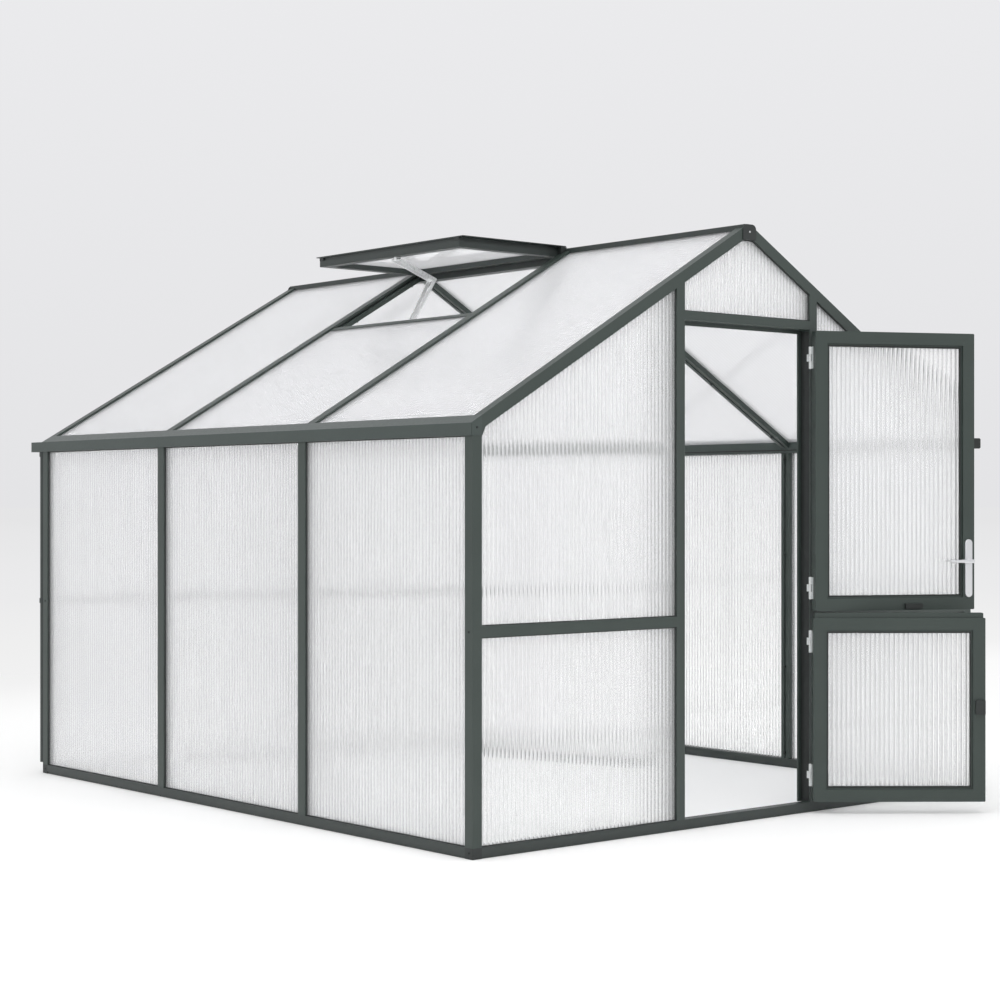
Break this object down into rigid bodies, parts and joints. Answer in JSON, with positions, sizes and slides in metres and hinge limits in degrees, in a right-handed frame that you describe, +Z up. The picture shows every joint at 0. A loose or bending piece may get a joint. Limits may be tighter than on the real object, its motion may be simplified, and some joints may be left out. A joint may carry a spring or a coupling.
{
  "type": "greenhouse",
  "caption": "Free-standing gabled greenhouse with an aluminium frame, twin-wall glazing, a split door standing open, a raised roof vent, gutters and downpipes.",
  "frame": {"origin": "on the ground under the middle of the door threshold, at mid-depth of the front wall frame", "axes": "+X to the right seen from the front, +Y from the front gable into the house, +Z up"},
  "size_m": [2.51, 3.3017, 2.0871],
  "materials": {
    "green_coated_aluminium": "satin powder coat",
    "dark_coated_aluminium": "satin powder coat",
    "grey_coated_aluminium": "satin powder coat",
    "twin_wall_polycarbonate": "clear ribbed sheet",
    "satin_aluminium": "satin",
    "zinc_plated_steel": "bright plated",
    "black_plastic": "matt",
    "downpipe_plastic": "satin"
  },
  "bodies": {
    "house": {"base_rail_left": "dark_coated_aluminium", "base_rail_right": "dark_coated_aluminium", "base_rail_front": "dark_coated_aluminium", "base_rail_back": "dark_coated_aluminium", "base_corner_blocks": "black_plastic", "corner_post_front_left": "green_coated_aluminium", "corner_post_front_right": "green_coated_aluminium", "corner_post_back_left": "green_coated_aluminium", "corner_post_back_right": "green_coated_aluminium", "left_wall_bars": "green_coated_aluminium", "right_wall_bars": "green_coated_aluminium", "left_gutter_beam": "grey_coated_aluminium", "right_gutter_beam": "grey_coated_aluminium", "downpipes": "downpipe_plastic", "ridge_beam": "dark_coated_aluminium", "ridge_end_caps": "black_plastic", "front_rafters": "green_coated_aluminium", "back_rafters": "green_coated_aluminium", "left_roof_bars": "green_coated_aluminium", "right_roof_bars": "green_coated_aluminium", "door_jambs": "green_coated_aluminium", "door_lintel": "green_coated_aluminium", "front_mid_rails": "green_coated_aluminium", "back_wall_posts": "green_coated_aluminium", "back_mid_rails": "green_coated_aluminium", "front_wall_glazing": "twin_wall_polycarbonate", "back_wall_glazing": "twin_wall_polycarbonate", "left_wall_glazing": "twin_wall_polycarbonate", "right_wall_glazing": "twin_wall_polycarbonate", "left_roof_glazing": "twin_wall_polycarbonate", "right_roof_glazing": "twin_wall_polycarbonate", "vent_sill": "green_coated_aluminium", "vent_sash": "dark_coated_aluminium", "vent_glazing": "twin_wall_polycarbonate", "vent_opener": "satin_aluminium", "jamb_hinges": "zinc_plated_steel"},
    "upper_leaf": {"upper_door_frame": "green_coated_aluminium", "upper_door_glazing": "twin_wall_polycarbonate", "upper_door_hinges": "zinc_plated_steel", "door_handle_plates": "satin_aluminium", "upper_door_catches": "black_plastic"},
    "lower_leaf": {"lower_door_frame": "green_coated_aluminium", "lower_door_glazing": "twin_wall_polycarbonate", "lower_door_hinges": "zinc_plated_steel", "lower_door_catch": "black_plastic"},
    "lever": {"door_levers": "satin_aluminium"}
  },
  "joints": [
    {"name": "upper_leaf_hinge", "type": "hinge", "parent": "house", "child": "upper_leaf", "pos_m": [0.312, -0.025, 1.215], "axis": [0, 0, 1], "range_deg": [-153.4, 12]},
    {"name": "lower_leaf_hinge", "type": "hinge", "parent": "house", "child": "lower_leaf", "pos_m": [0.312, -0.025, 0.373], "axis": [0, 0, 1], "range_deg": [-140.3, 25]},
    {"name": "lever_turn", "type": "hinge", "parent": "upper_leaf", "child": "lever", "pos_m": [0.83328, -0.31288, 0.897], "axis": [-0.4478, -0.8942, 0], "range_deg": [0, 45], "stiffness_Nm_per_rad": 0.5, "springref_deg": -20.05}
  ]
}
